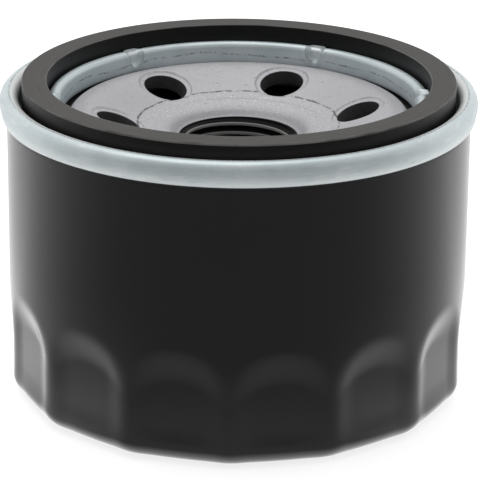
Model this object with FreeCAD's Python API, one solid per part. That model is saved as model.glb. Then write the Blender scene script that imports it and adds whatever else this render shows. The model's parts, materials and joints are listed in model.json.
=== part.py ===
import FreeCAD, Part
import math
import os

# Spin-on oil filter, millimetres. +Z is up and runs along the axis, out of the threaded end.
# The origin is the centre of the closed end, so the sealing ring's face is at z = HEIGHT.

# ---- driving dimensions -------------------------------------------------------------
HEIGHT = 53.2            # closed end to the sealing ring's free face

CAN_R = 38.0             # drawn can, outside
CAN_T = 0.4              # can sheet
CAN_CORNER_R = 4.5       # closed-end corner, outside
CAN_PANEL_R = 24.0       # raised centre panel of the closed end
CAN_PANEL_UP = 0.8
CAN_STRIP_Z = 40.0       # straight wall ends here and the necked rim begins

FLUTES = 14              # flats for a cap wrench
FLUTE_PHASE = -1.7       # first ridge, degrees from the front towards +X
FLUTE_CIRCUM_R = 37.98   # ridge radius before it is rounded
FLUTE_RIDGE_R = 5.0      # rounding of each ridge
FLUTE_FULL_Z = 12.0      # flats are at full depth below this
FLUTE_TOP_Z = 20.0       # and have run out above this

LID_T = 0.6              # seaming lid sheet
SEAM_GAP = 0.05          # between the five layers of the double seam
SEAM_R = 39.10           # outside of the double seam
SEAM_Z0 = 47.32          # its lower edge
SEAM_ARC_Z = 50.0        # centre of the fold at its top

GASKET_RO = 35.5
GASKET_RI = 31.44
GASKET_Z0 = 46.67

GROOVE_Z = 46.65         # floor of the sealing ring's channel
LIP_RO = 31.2            # inner wall of that channel, outside
LIP_RI = 29.1            # inside of the turned-down skirt
LIP_TOP = 50.8
SKIRT_Z = 46.95          # lower edge of the skirt
CRIMPS = 6
CRIMP_PHASE = 25.0       # degrees from the back towards +X
CRIMP_R = 1.1
CRIMP_DEPTH = 0.34

PLATE_T = 2.6
PLATE_R = 37.0
FLANGE_Z = 45.85         # flat rim of the base plate, upper face
CROWN_R = 24.8
CROWN_Z = 48.2
SLOPE = 0.354            # conical dish, rise per unit radius

HOLES = 6
HOLE_PCR = 19.9          # radius of the circle the inlet holes stand on
HOLE_R = 3.68
HOLE_PHASE = 21.3        # degrees from the back towards +X
HOLE_Z = 46.93           # dish surface at the hole circle
RECESS_R = 4.6
RECESS_D = 0.28

THREAD_MINOR_R = 8.66    # 3/4-16 UNF internal thread
THREAD_MAJOR_R = 9.525
THREAD_PITCH = 1.5875
THREAD_FIRST_Z = 42.55
THREAD_CRESTS = 6
MOUTH_R = 9.76
MOUTH_Z = 43.2
COLLAR_R = 12.3
COLLAR_Z = 34.3

WELDS = 6
WELD_R = 1.6
WELD_PCR = 34.0

VALVE_HUB_RI = 12.36     # moulded anti-drain diaphragm
VALVE_HUB_RO = 14.1
VALVE_FOOT_R = 16.8
VALVE_WEB_R = 27.3
VALVE_LIP_RI = 27.42
VALVE_LIP_RO = 32.2
VALVE_SEAT_GAP = 0.05

ELEMENT_R = 33.2         # pleated element, over its caps
SHEET = 0.35             # element sheet metal
TOP_CAP_Z = 37.35        # upper face of the top cap
BOTTOM_CAP_Z = 7.95      # lower face of the bottom cap
TUBE_RO = 14.2
PLEATS = 48
PLEAT_RO = 31.55         # centre of the outer folds
PLEAT_RI = 15.95         # centre of the inner folds
FOLD_RO = 0.62
FOLD_RI = 0.42
PAPER_T = 0.42
TUBE_ROWS = 6
TUBE_HOLES = 10
TUBE_HOLE_R = 1.6

SEAT_HOLE_R = 5.5        # relief port in the bottom cap
POPPET_R = 7.9
STEM_R = 1.5
CAGE_RI = 9.2
CAGE_T = 0.5
CAGE_TOP = 21.0
BYPASS_LIFT = 3.0

SPRING_WIRE = 1.8
# -------------------------------------------------------------------------------------

V = FreeCAD.Vector
Z = V(0, 0, 1)
O = V(0, 0, 0)


def pt(r, z):
    return V(r, 0, z)


def turn(face):
    """A full turn about the axis."""
    return face.revolve(O, Z, 360)


def outline(*steps):
    """A closed outline in the half-plane: points, and ("a", through, to) for an arc."""
    edges = []
    first = here = pt(*steps[0])
    for s in steps[1:]:
        if s[0] == "a":
            through, to = pt(*s[1]), pt(*s[2])
            edges.append(Part.Arc(here, through, to).toShape())
        else:
            to = pt(*s)
            edges.append(Part.LineSegment(here, to).toShape())
        here = to
    if here.distanceToPoint(first) > 1e-7:
        edges.append(Part.LineSegment(here, first).toShape())
    return Part.Face(Part.Wire(edges))


def lathe(*steps):
    return turn(outline(*steps))


def ring(ri, ro, z0, z1):
    return lathe((ri, z0), (ro, z0), (ro, z1), (ri, z1))


def rot(v, deg):
    a = math.radians(deg)
    return (v[0] * math.cos(a) - v[1] * math.sin(a), v[0] * math.sin(a) + v[1] * math.cos(a))


def strip(start, segments, t, place=pt):
    """The closed outline of a folded sheet of thickness t along a smooth centre line.

    Each segment is ("L", to) or ("A", centre, degrees), anticlockwise positive.
    """
    h = t / 2
    left, right = [], []
    p = start
    for s in segments:
        if s[0] == "L":
            q = s[1]
            d = (q[0] - p[0], q[1] - p[1])
            n = math.hypot(*d)
            u = (-d[1] / n * h, d[0] / n * h)
            for side, k in ((left, 1), (right, -1)):
                a = place(p[0] + k * u[0], p[1] + k * u[1])
                b = place(q[0] + k * u[0], q[1] + k * u[1])
                side.append(Part.LineSegment(a, b).toShape())
        else:
            c, deg = s[1], s[2]
            v = (p[0] - c[0], p[1] - c[1])
            r = math.hypot(*v)
            sign = 1 if deg > 0 else -1
            m, e = rot(v, deg / 2), rot(v, deg)
            for side, k in ((left, -sign), (right, sign)):
                f = (r + k * h) / r
                a, b, d = (place(c[0] + w[0] * f, c[1] + w[1] * f) for w in (v, m, e))
                side.append(Part.Arc(a, b, d).toShape())
            q = (c[0] + e[0], c[1] + e[1])
        p = q

    def tips(side):
        return side[0].Vertexes[0].Point, side[-1].Vertexes[-1].Point

    l0, l1 = tips(left)
    r0, r1 = tips(right)
    edges = left + right
    if l0.distanceToPoint(l1) > 1e-6:
        edges.append(Part.LineSegment(l1, r1).toShape())
        edges.append(Part.LineSegment(l0, r0).toShape())
    return edges


def sheet(start, segments, t):
    wire = Part.Wire(Part.__sortEdges__(strip(start, segments, t)))
    return turn(Part.Face(wire))


def from_back(deg, r, z=0.0):
    """A point at this angle from the back, turning towards +X."""
    a = math.radians(deg)
    return V(r * math.sin(a), r * math.cos(a), z)


def one(shape):
    """The single solid a boolean leaves."""
    shape = shape.removeSplitter()
    if len(shape.Solids) != 1:
        raise ValueError(f"{len(shape.Solids)} solids where one was meant")
    return shape.Solids[0]


# ---- can ----------------------------------------------------------------------------
def flats(circum_r, corner_r, z):
    """A 14-sided wire with rounded corners at height z."""
    edges = []
    step = 2 * math.pi / FLUTES
    cut = corner_r * math.tan(step / 2)
    corners = []
    for k in range(FLUTES):
        a = math.radians(FLUTE_PHASE - 90) + k * step
        corners.append((circum_r * math.cos(a), circum_r * math.sin(a)))
    for k in range(FLUTES):
        c, n, b = corners[k], corners[(k + 1) % FLUTES], corners[k - 1]

        def along(p, q, d):
            s = math.hypot(q[0] - p[0], q[1] - p[1])
            return V(p[0] + (q[0] - p[0]) * d / s, p[1] + (q[1] - p[1]) * d / s, z)

        a0, a1 = along(c, b, cut), along(c, n, cut)
        inward = circum_r - corner_r * (1 / math.cos(step / 2) - 1)
        f = inward / circum_r
        edges.append(Part.Arc(a0, V(c[0] * f, c[1] * f, z), a1).toShape())
        edges.append(Part.LineSegment(a1, along(n, c, cut)).toShape())
    return Part.Wire(edges)


def fluted(inset, z_low):
    """The space the flats leave: straight below, opening out to the round wall above."""
    c = FLUTE_CIRCUM_R - inset
    grow = (CAN_R - inset + 0.02) / math.cos(math.pi / FLUTES)
    low = Part.makeLoft([flats(c, FLUTE_RIDGE_R, z_low), flats(c, FLUTE_RIDGE_R, FLUTE_FULL_Z)], True, True)
    high = Part.makeLoft([flats(c, FLUTE_RIDGE_R, FLUTE_FULL_Z), flats(grow, FLUTE_RIDGE_R, FLUTE_TOP_Z)], True, True)
    top = Part.makeCylinder(CAN_R + 2, 40, V(0, 0, FLUTE_TOP_Z))
    return low.fuse([high, top])


def canister():
    r, t, k, s = CAN_R, CAN_T, CAN_CORNER_R, CAN_STRIP_Z
    h = math.sqrt(0.5)
    outer = lathe(
        (0, CAN_PANEL_UP), (CAN_PANEL_R - 1.6, CAN_PANEL_UP), (CAN_PANEL_R, 0), (r - k, 0),
        ("a", (r - k + k * h, k - k * h), (r, k)), (r, s), (0, s),
    )
    inner = lathe(
        (0, CAN_PANEL_UP + t), (CAN_PANEL_R - 1.5, CAN_PANEL_UP + t), (CAN_PANEL_R + 0.1, t), (r - k, t),
        ("a", (r - k + (k - t) * h, k - (k - t) * h), (r - t, k)), (r - t, s + 1), (0, s + 1),
    )
    cup = outer.common(fluted(0.0, -1.0)).cut(inner.common(fluted(t, -1.0)))
    mid = r - t / 2
    wall = seam_radii()["can_wall"]
    hook = seam_radii()["can_hook"]
    lean = math.degrees(math.atan2(mid - wall, 1.0))
    bend = 1.2
    dz = bend * math.tan(math.radians(lean) / 2)
    # straight, lean in, straight again, then over and down as the body hook
    z_a, z_b = 46.75, 47.75
    d = (wall - mid, z_b - z_a)
    n = math.hypot(*d)
    d = (d[0] / n, d[1] / n)
    rim = sheet(
        (mid, s),
        [
            ("L", (mid, z_a - dz)),
            ("A", (mid - bend, z_a - dz), lean),
            ("L", (wall - d[0] * dz, z_b - d[1] * dz)),
            ("A", (wall + bend, z_b + dz), -lean),
            ("L", (wall, SEAM_ARC_Z)),
            ("A", ((wall + hook) / 2, SEAM_ARC_Z), -180),
            ("L", (hook, 48.45)),
        ],
        t,
    )
    return one(cup.fuse(rim))


def seam_radii():
    """Mid radii of the five layers, outside to inside."""
    g, tl, tc = SEAM_GAP, LID_T, CAN_T
    outer = SEAM_R - tl / 2
    hook = SEAM_R - tl - g - tc / 2
    cover = SEAM_R - tl - g - tc - g - tl / 2
    wall = cover - tl / 2 - g - tc / 2
    chuck = wall - tc / 2 - g - tl / 2
    return {"lid_outer": outer, "can_hook": hook, "lid_hook": cover, "can_wall": wall, "lid_chuck": chuck}


# ---- seaming lid --------------------------------------------------------------------
def seaming_lid():
    s = seam_radii()
    t = LID_T
    fold = (s["lid_outer"] - s["lid_hook"]) / 2
    fold_z = SEAM_Z0 + fold + t / 2
    crest = (s["lid_outer"] - s["lid_chuck"]) / 2
    floor = GROOVE_Z - t / 2
    wall_r = LIP_RO - t / 2
    skirt_r = LIP_RI + t / 2
    u = (wall_r - skirt_r) / 2
    u_z = LIP_TOP - t / 2 - u
    b = 0.75
    lid = sheet(
        (s["lid_hook"], 49.6),
        [
            ("L", (s["lid_hook"], fold_z)),
            ("A", (s["lid_hook"] + fold, fold_z), 180),
            ("L", (s["lid_outer"], SEAM_ARC_Z)),
            ("A", (s["lid_outer"] - crest, SEAM_ARC_Z), 180),
            ("L", (s["lid_chuck"], floor + b)),
            ("A", (s["lid_chuck"] - b, floor + b), -90),
            ("L", (wall_r + b, floor)),
            ("A", (wall_r + b, floor + b), -90),
            ("L", (wall_r, u_z)),
            ("A", (wall_r - u, u_z), 180),
            ("L", (skirt_r, SKIRT_Z)),
        ],
        t,
    )
    for k in range(CRIMPS):
        p = from_back(CRIMP_PHASE + k * 360 / CRIMPS, LIP_RI + CRIMP_DEPTH - CRIMP_R, SKIRT_Z - 1)
        lid = lid.cut(Part.makeCylinder(CRIMP_R, LIP_TOP - 1.3 - (SKIRT_Z - 1), p))
    return one(lid)


def seam_sealant():
    s = seam_radii()
    a = ring(s["lid_hook"] - 0.26, s["lid_hook"] + 0.26, 49.62, 49.98)
    b = ring(s["can_hook"] - 0.17, s["can_hook"] + 0.17, 48.18, 48.41)
    return Part.makeCompound([a, b])


def gasket():
    c = 0.25
    return lathe(
        (GASKET_RI + c, GASKET_Z0), (GASKET_RO - c, GASKET_Z0), (GASKET_RO, GASKET_Z0 + c), (GASKET_RO, HEIGHT - c), (GASKET_RO - c, HEIGHT),
        (GASKET_RI + c, HEIGHT), (GASKET_RI, HEIGHT - c), (GASKET_RI, GASKET_Z0 + c),
    )


# ---- base plate ---------------------------------------------------------------------
def base_plate():
    t = PLATE_T
    drop = t / math.cos(math.atan(SLOPE))
    h60 = math.tan(math.radians(30))
    deep = THREAD_MAJOR_R - THREAD_MINOR_R
    root = THREAD_PITCH / 16
    land = root + deep * h60
    half_crest = THREAD_PITCH / 2 - land
    steps = [(PLATE_R, FLANGE_Z - t), (PLATE_R, FLANGE_Z), (29.0, FLANGE_Z)]
    steps += [("a", (28.55, FLANGE_Z + 0.13), (28.28, FLANGE_Z + 0.5)), (27.95, 46.95)]
    steps += [("a", (26.75, 47.88), (CROWN_R, CROWN_Z)), ("a", (24.0, 48.18), (23.2, 48.05))]
    steps += [(16.78, HOLE_Z - SLOPE * (HOLE_PCR - 16.78)), (16.6, HOLE_Z - SLOPE * (HOLE_PCR - 16.6) - 0.1)]
    steps += [(12.6, 44.75), ("a", (10.7, 44.05), (MOUTH_R, MOUTH_Z))]
    z = THREAD_FIRST_Z
    steps += [(THREAD_MINOR_R, z + half_crest + 0.2)]
    for k in range(THREAD_CRESTS):
        zc = THREAD_FIRST_Z - k * THREAD_PITCH
        if k:
            steps += [(THREAD_MINOR_R, zc + half_crest)]
        steps += [(THREAD_MINOR_R, zc - half_crest)]
        if k < THREAD_CRESTS - 1:
            zr = zc - THREAD_PITCH / 2
            steps += [(THREAD_MAJOR_R, zr + root), (THREAD_MAJOR_R, zr - root)]
    steps += [(THREAD_MINOR_R + 0.5, COLLAR_Z), (COLLAR_R - 0.6, COLLAR_Z), (COLLAR_R, COLLAR_Z + 0.6)]
    steps += [(COLLAR_R, 41.3), ("a", (12.6, 41.85), (13.3, 42.2))]
    steps += [(23.2, 48.05 - drop), ("a", (24.2, 45.5), (CROWN_R, CROWN_Z - t))]
    steps += [("a", (26.2, 45.05), (27.3, 43.95)), ("a", (27.95, 43.45), (28.9, FLANGE_Z - t))]
    plate = lathe(*steps)

    tilt = math.degrees(math.atan(SLOPE))
    for k in range(HOLES):
        deg = HOLE_PHASE + k * 360 / HOLES
        base = from_back(deg, HOLE_PCR, HOLE_Z)
        n = from_back(deg, -math.sin(math.radians(tilt)), math.cos(math.radians(tilt)))

        def at(d):
            return base + n * d

        boss = Part.makeCone(RECESS_R + 0.55, RECESS_R + 0.95, RECESS_D, at(-t - RECESS_D), n)
        boss = boss.fuse(Part.makeCylinder(RECESS_R + 0.95, t - 0.4, at(-t), n))
        recess = Part.makeCone(RECESS_R - 0.38, RECESS_R, RECESS_D, at(-RECESS_D), n)
        recess = recess.fuse(Part.makeCylinder(RECESS_R, 2.0, at(0), n))
        bore = Part.makeCylinder(HOLE_R, 8.0, at(-6.5), n)
        plate = plate.fuse(boss).cut(recess.fuse(bore))
    return one(plate)


def spot_welds():
    z0, z1 = FLANGE_Z + 0.01, GROOVE_Z - LID_T - 0.01
    dots = []
    for k in range(WELDS):
        p = from_back(HOLE_PHASE + 30 + k * 360 / WELDS, WELD_PCR, z0)
        dots.append(Part.makeCylinder(WELD_R, z1 - z0, p))
    return Part.makeCompound(dots)


# ---- anti-drain diaphragm -----------------------------------------------------------
WEB_LOW = (VALVE_FOOT_R + 0.1, TOP_CAP_Z + 0.25)
FLANGE_UNDER = FLANGE_Z - PLATE_T


def drain_valve_hub():
    z = TOP_CAP_Z + 0.03
    return lathe(
        (VALVE_HUB_RI, z), (VALVE_FOOT_R, z), (VALVE_FOOT_R, z + 1.1), (VALVE_HUB_RO + 0.6, z + 1.1),
        ("a", (VALVE_HUB_RO + 0.18, z + 1.28), (VALVE_HUB_RO, z + 1.7)), (VALVE_HUB_RO, 40.9), (13.2, 41.2),
        (VALVE_HUB_RI, 41.2),
    )


def drain_valve_web():
    r0, z0 = WEB_LOW
    r1, z1 = VALVE_WEB_R, FLANGE_UNDER - 1.15
    return lathe((r0, z0), (r0 + 1.6, z0 + 0.15), (r1, z1), (r1, z1 + 0.85), (r0 + 1.3, z0 + 1.0), (r0, z0 + 0.85))


def drain_valve_lip():
    top = FLANGE_UNDER - VALVE_SEAT_GAP
    z0 = FLANGE_UNDER - 1.15
    return lathe(
        (VALVE_LIP_RI, z0), (VALVE_LIP_RO - 0.3, z0), (VALVE_LIP_RO, z0 + 0.3), (VALVE_LIP_RO, z0 + 0.75),
        (31.3, z0 + 0.85), (30.9, top), (29.7, top), (29.3, z0 + 0.85), (VALVE_LIP_RI, z0 + 0.85),
    )


# ---- element ------------------------------------------------------------------------
def element_top_cap():
    t = SHEET
    z = TOP_CAP_Z - t / 2
    ro = ELEMENT_R - t / 2
    ri = TUBE_RO - SHEET - 0.05 - t / 2
    b = 0.9
    return sheet(
        (ro, 33.0),
        [
            ("L", (ro, z - b)), ("A", (ro - b, z - b), 90), ("L", (ri + b, z)),
            ("A", (ri + b, z - b), 90), ("L", (ri, 33.5)),
        ],
        t,
    )


def element_bottom_cap():
    t = SHEET
    z = BOTTOM_CAP_Z + t / 2
    ro = ELEMENT_R - t / 2
    b = 0.9
    return sheet((SEAT_HOLE_R, z), [("L", (ro - b, z)), ("A", (ro - b, z + b), 90), ("L", (ro, 12.3))], t)


def cap_adhesive_top():
    z = TOP_CAP_Z - SHEET
    return ring(TUBE_RO + 0.5, ELEMENT_R - SHEET - 0.85, z - 0.52, z - 0.05)


def cap_adhesive_bottom():
    z = BOTTOM_CAP_Z + SHEET
    return ring(TUBE_RO + 0.1, ELEMENT_R - SHEET - 0.75, z + 0.03, z + 0.52)


MEDIA_Z0 = BOTTOM_CAP_Z + SHEET + 0.55
MEDIA_Z1 = TOP_CAP_Z - SHEET - 0.55


def pleated_media():
    step = math.pi / PLEATS
    h = PAPER_T / 2

    def centre(k):
        r = PLEAT_RO if k % 2 == 0 else PLEAT_RI
        a = math.radians(-90) + k * step
        return (r * math.cos(a), r * math.sin(a))

    # each leg is the inner tangent of two neighbouring folds
    segments = []
    legs = []
    for k in range(2 * PLEATS):
        c0, c1 = centre(k), centre(k + 1)
        r0, r1 = (FOLD_RO, FOLD_RI) if k % 2 == 0 else (FOLD_RI, FOLD_RO)
        dx, dy = c1[0] - c0[0], c1[1] - c0[1]
        d = math.hypot(dx, dy)
        along = math.atan2(dy, dx)
        off = math.asin((r0 + r1) / d)
        # outer folds turn anticlockwise, inner folds turn clockwise
        side = -1 if k % 2 == 0 else 1
        a = along + side * (math.pi / 2 - off)
        p0 = (c0[0] + r0 * math.cos(a), c0[1] + r0 * math.sin(a))
        p1 = (c1[0] - r1 * math.cos(a), c1[1] - r1 * math.sin(a))
        legs.append((p0, p1))
    edges = []

    def place(x, y):
        return V(x, y, MEDIA_Z0)

    for k in range(2 * PLEATS):
        p, q = legs[k]
        nxt = legs[(k + 1) % (2 * PLEATS)][0]
        c = centre(k + 1)
        a0 = math.atan2(q[1] - c[1], q[0] - c[0])
        a1 = math.atan2(nxt[1] - c[1], nxt[0] - c[0])
        sweep = a1 - a0
        if (k + 1) % 2 == 0:
            while sweep <= 0:
                sweep += 2 * math.pi
        else:
            while sweep >= 0:
                sweep -= 2 * math.pi
        segments += [("L", q), ("A", c, math.degrees(sweep))]
    loops = strip(legs[0][0], segments, PAPER_T, place)
    half = len(loops) // 2
    inner, outer = Part.Wire(loops[:half]), Part.Wire(loops[half:])
    if inner.BoundBox.DiagonalLength > outer.BoundBox.DiagonalLength:
        inner, outer = outer, inner
    up = V(0, 0, MEDIA_Z1 - MEDIA_Z0)
    return one(Part.Face(outer).extrude(up).cut(Part.Face(inner).extrude(up)))


def media_seam_clip():
    """A folded steel strip over the one outer fold where the paper's ends meet, at the front."""
    w = FOLD_RO + PAPER_T / 2 + 0.06
    t = 0.28
    y = PLEAT_RO
    z0, z1 = MEDIA_Z0, MEDIA_Z1
    outer = Part.makeCylinder(w + t, z1 - z0, V(0, -y, z0))
    outer = outer.fuse(Part.makeBox(2 * (w + t), 2.6, z1 - z0, V(-w - t, -y, z0)))
    inner = Part.makeCylinder(w, z1 - z0, V(0, -y, z0))
    inner = inner.fuse(Part.makeBox(2 * w, 3.0, z1 - z0, V(-w, -y, z0)))
    return one(outer.cut(inner))


def center_tube():
    z0, z1 = BOTTOM_CAP_Z + SHEET + 0.02, TOP_CAP_Z - SHEET - 0.6
    tube = ring(TUBE_RO - SHEET, TUBE_RO, z0, z1)
    pitch = (z1 - z0 - 5.0) / (TUBE_ROWS - 1)
    drills = []
    for row in range(TUBE_ROWS):
        for k in range(TUBE_HOLES):
            deg = (k + 0.5 * (row % 2)) * 360 / TUBE_HOLES
            a = math.radians(deg)
            p = V(11 * math.cos(a), 11 * math.sin(a), z0 + 2.5 + row * pitch)
            drills.append(Part.makeCylinder(TUBE_HOLE_R, 5, p, V(math.cos(a), math.sin(a), 0)))
    return one(tube.cut(Part.makeCompound(drills)))


# ---- relief valve -------------------------------------------------------------------
SEAT_TOP = BOTTOM_CAP_Z + SHEET


def bypass_seal():
    z = SEAT_TOP + 0.04
    return ring(1.2, POPPET_R, z, z + 1.2)


def bypass_poppet():
    z = SEAT_TOP + 0.04 + 1.2 + 0.03
    # a stamped disc with a spring boss, and a stem that the cage guides
    disc = lathe(
        (0, z), (POPPET_R, z), (POPPET_R, z + 0.5), (4.1, z + 0.5), (3.7, z + 2.6), (STEM_R, z + 2.6),
        (STEM_R, 21.9), (STEM_R - 0.3, 22.2), (0, 22.2),
    )
    rivet = Part.makeCylinder(1.1, 1.5, V(0, 0, z - 1.45))
    return one(disc.fuse(rivet))


def bypass_cage():
    t = CAGE_T
    r = CAGE_RI + t / 2
    z0 = SEAT_TOP + 0.02 + t / 2
    top = CAGE_TOP - t / 2
    b = 0.8
    cage = sheet(
        (12.9, z0),
        [
            ("L", (r + b, z0)), ("A", (r + b, z0 + b), -90), ("L", (r, top - 1.4)),
            ("A", (r - 1.4, top - 1.4), 90), ("L", (STEM_R + 0.06, top)),
        ],
        t,
    )
    for k in range(4):
        a = 45 + 90 * k
        win = Part.makeBox(6.0, 9.2, 8.2, V(6.5, -4.6, 10.2))
        win.rotate(O, Z, a)
        cage = cage.cut(win)
    return one(cage)


def coil(radius, wire_r, z0, z1, turns, steps=24, flat=0.75):
    """A coil spring with closed ends. radius is a function of the share of the way up."""
    total = turns * steps
    points = []
    for k in range(int(total) + 1):
        n = k / steps
        if n < flat:
            s = 0.0
        elif n > turns - flat:
            s = 1.0
        else:
            s = (n - flat) / (turns - 2 * flat)
            s = s * s * (3 - 2 * s) * 0.25 + s * 0.75
        a = 2 * math.pi * n
        r = radius(n / turns)
        rise = wire_r * 0.10 * (n / turns)
        points.append(V(r * math.cos(a), r * math.sin(a), z0 + (z1 - z0) * s + 0 * rise))
    curve = Part.BSplineCurve()
    curve.interpolate(points)
    path = Part.Wire(curve.toShape())
    start = points[0]
    tangent = curve.tangent(curve.FirstParameter)[0]
    profile = Part.Wire(Part.Circle(start, tangent, wire_r).toShape())
    shape = path.makePipeShell([profile], True, True)
    if not shape.Solids:
        shape = Part.makeSolid(shape)
    return shape.Solids[0]


def bypass_spring():
    w = 0.42
    low = SEAT_TOP + 0.04 + 1.2 + 0.03 + 0.5 + w + 0.04
    high = CAGE_TOP - CAGE_T - w - 0.04
    return coil(lambda s: 5.2, w, low, high, 6.0, flat=0.0)


def support_spring():
    w = SPRING_WIRE / 2
    low = CAN_PANEL_UP + CAN_T + w + 0.05
    high = BOTTOM_CAP_Z - w - 0.05
    return coil(lambda s: 20.0 - 7.5 * s, w, low, high, 2.75, flat=0.0)


PARTS = {
    "canister": canister,
    "seaming_lid": seaming_lid,
    "seam_sealant": seam_sealant,
    "base_plate": base_plate,
    "spot_welds": spot_welds,
    "gasket": gasket,
    "drain_valve_hub": drain_valve_hub,
    "drain_valve_web": drain_valve_web,
    "drain_valve_lip": drain_valve_lip,
    "element_top_cap": element_top_cap,
    "element_bottom_cap": element_bottom_cap,
    "cap_adhesive_top": cap_adhesive_top,
    "cap_adhesive_bottom": cap_adhesive_bottom,
    "pleated_media": pleated_media,
    "media_seam_clip": media_seam_clip,
    "center_tube": center_tube,
    "bypass_seal": bypass_seal,
    "bypass_poppet": bypass_poppet,
    "bypass_cage": bypass_cage,
    "bypass_spring": bypass_spring,
    "support_spring": support_spring,
}

os.makedirs("parts", exist_ok=True)
for name, make in PARTS.items():
    shape = make()
    for solid in shape.Solids:
        if not solid.isValid():
            raise ValueError(f"{name} has a broken solid")
        if solid.Volume <= 0:
            raise ValueError(f"{name} is inside out")
    shape.exportStep(os.path.join("parts", name + ".step"))
    box = shape.BoundBox
    print(f"{name}: {len(shape.Solids)} solids, {sum(s.Volume for s in shape.Solids):.1f} mm3, z {box.ZMin:.2f} to {box.ZMax:.2f}, r {max(box.XMax, box.YMax):.2f}")
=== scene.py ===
"""Spin-on oil filter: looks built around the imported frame. Metres, +Z out of the threaded end."""

import json
import math

import bpy
import numpy as np
from mathutils import Matrix, Vector


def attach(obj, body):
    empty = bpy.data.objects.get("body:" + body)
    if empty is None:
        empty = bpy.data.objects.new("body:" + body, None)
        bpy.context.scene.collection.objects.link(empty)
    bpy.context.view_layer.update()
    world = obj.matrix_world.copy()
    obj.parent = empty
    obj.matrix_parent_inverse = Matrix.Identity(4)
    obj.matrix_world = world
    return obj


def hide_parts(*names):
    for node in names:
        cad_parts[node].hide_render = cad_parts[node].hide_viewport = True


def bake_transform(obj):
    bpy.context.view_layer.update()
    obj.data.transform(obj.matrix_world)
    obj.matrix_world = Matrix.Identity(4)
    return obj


MM = 0.001
TAU = 2 * math.pi
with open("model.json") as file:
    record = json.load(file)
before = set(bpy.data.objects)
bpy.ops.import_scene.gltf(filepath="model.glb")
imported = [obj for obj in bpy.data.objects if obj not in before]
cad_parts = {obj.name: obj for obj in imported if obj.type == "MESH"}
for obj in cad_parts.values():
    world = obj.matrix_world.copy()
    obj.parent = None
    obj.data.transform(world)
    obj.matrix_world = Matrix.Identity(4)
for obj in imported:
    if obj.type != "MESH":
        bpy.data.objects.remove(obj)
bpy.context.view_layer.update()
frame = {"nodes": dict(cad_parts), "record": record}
scene = bpy.context.scene

# ------------------------------------------------------------------------------------
# mesh helpers. Sizes are in millimetres until link() scales them.
# ------------------------------------------------------------------------------------


def link(name, verts, faces, sharp_deg=40.0):
    me = bpy.data.meshes.new(name)
    me.from_pydata((np.asarray(verts, float) * MM).tolist(), [], faces)
    me.validate()
    ob = bpy.data.objects.new(name, me)
    scene.collection.objects.link(ob)
    for p in me.polygons:
        p.use_smooth = True
    me.set_sharp_from_angle(angle=math.radians(sharp_deg))
    return ob


def grid_faces(rows, cols, close_rows, close_cols, base=0, flip=False):
    """Quads of a rows x cols grid of vertices."""
    out = []
    for i in range(rows if close_rows else rows - 1):
        a, b = i * cols, ((i + 1) % rows) * cols
        for j in range(cols if close_cols else cols - 1):
            k = (j + 1) % cols
            q = (base + a + j, base + a + k, base + b + k, base + b + j)
            out.append(q[::-1] if flip else q)
    return out


def spin(loop, n, move=None):
    """A closed (r, z) loop turned about the axis. loop runs clockwise in the half-plane (r right, z up)."""
    loop = np.asarray(loop, float)
    th = np.linspace(0, TAU, n, endpoint=False)
    r = np.repeat(loop[:, 0][:, None], n, 1)
    z = np.repeat(loop[:, 1][:, None], n, 1)
    t = np.repeat(th[None, :], len(loop), 0)
    if move:
        r, z, t = move(r, z, t)
    # angle 0 is the front (-Y), positive towards +X
    v = np.stack([r * np.sin(t), -r * np.cos(t), z], 2)
    return v.reshape(-1, 3), (len(loop), n)


def lathe(name, loop, n=288, move=None, sharp_deg=40.0):
    v, (rows, cols) = spin(loop, n, move)
    area = 0.0
    a = np.asarray(loop, float)
    b = np.roll(a, -1, 0)
    area = 0.5 * np.sum(a[:, 0] * b[:, 1] - b[:, 0] * a[:, 1])
    return link(name, v, grid_faces(rows, cols, True, True, flip=area < 0), sharp_deg)


def rounded(points, step=0.25, arc_deg=12.0):
    """Dense closed loop from corners (r, z, fillet radius)."""
    pts = [np.array(p[:2], float) for p in points]
    rad = [p[2] if len(p) > 2 else 0.0 for p in points]
    n = len(pts)
    ends = []
    for i in range(n):
        p, a, b = pts[i], pts[i - 1], pts[(i + 1) % n]
        u, v = (a - p), (b - p)
        lu, lv = np.linalg.norm(u), np.linalg.norm(v)
        u, v = u / lu, v / lv
        half = math.acos(max(-1, min(1, float(u @ v)))) / 2
        if rad[i] <= 0 or half > math.radians(89.5):
            ends.append([p])
            continue
        d = min(rad[i] / math.tan(half), 0.49 * lu, 0.49 * lv)
        r = d * math.tan(half)
        c = p + (u + v) / np.linalg.norm(u + v) * (r / math.sin(half))
        s, e = p + u * d, p + v * d
        a0 = math.atan2(*(s - c)[::-1])
        a1 = math.atan2(*(e - c)[::-1])
        da = (a1 - a0 + math.pi) % TAU - math.pi
        k = max(2, int(math.ceil(abs(math.degrees(da)) / arc_deg)))
        ends.append([c + r * np.array([math.cos(a0 + da * j / k), math.sin(a0 + da * j / k)]) for j in range(k + 1)])
    out = []
    for i in range(n):
        out += ends[i]
        p, q = ends[i][-1], ends[(i + 1) % n][0]
        k = int(np.linalg.norm(q - p) / step)
        for j in range(1, k + 1):
            f = j / (k + 1)
            out.append(p * (1 - f) + q * f)
    return np.array(out)


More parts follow.
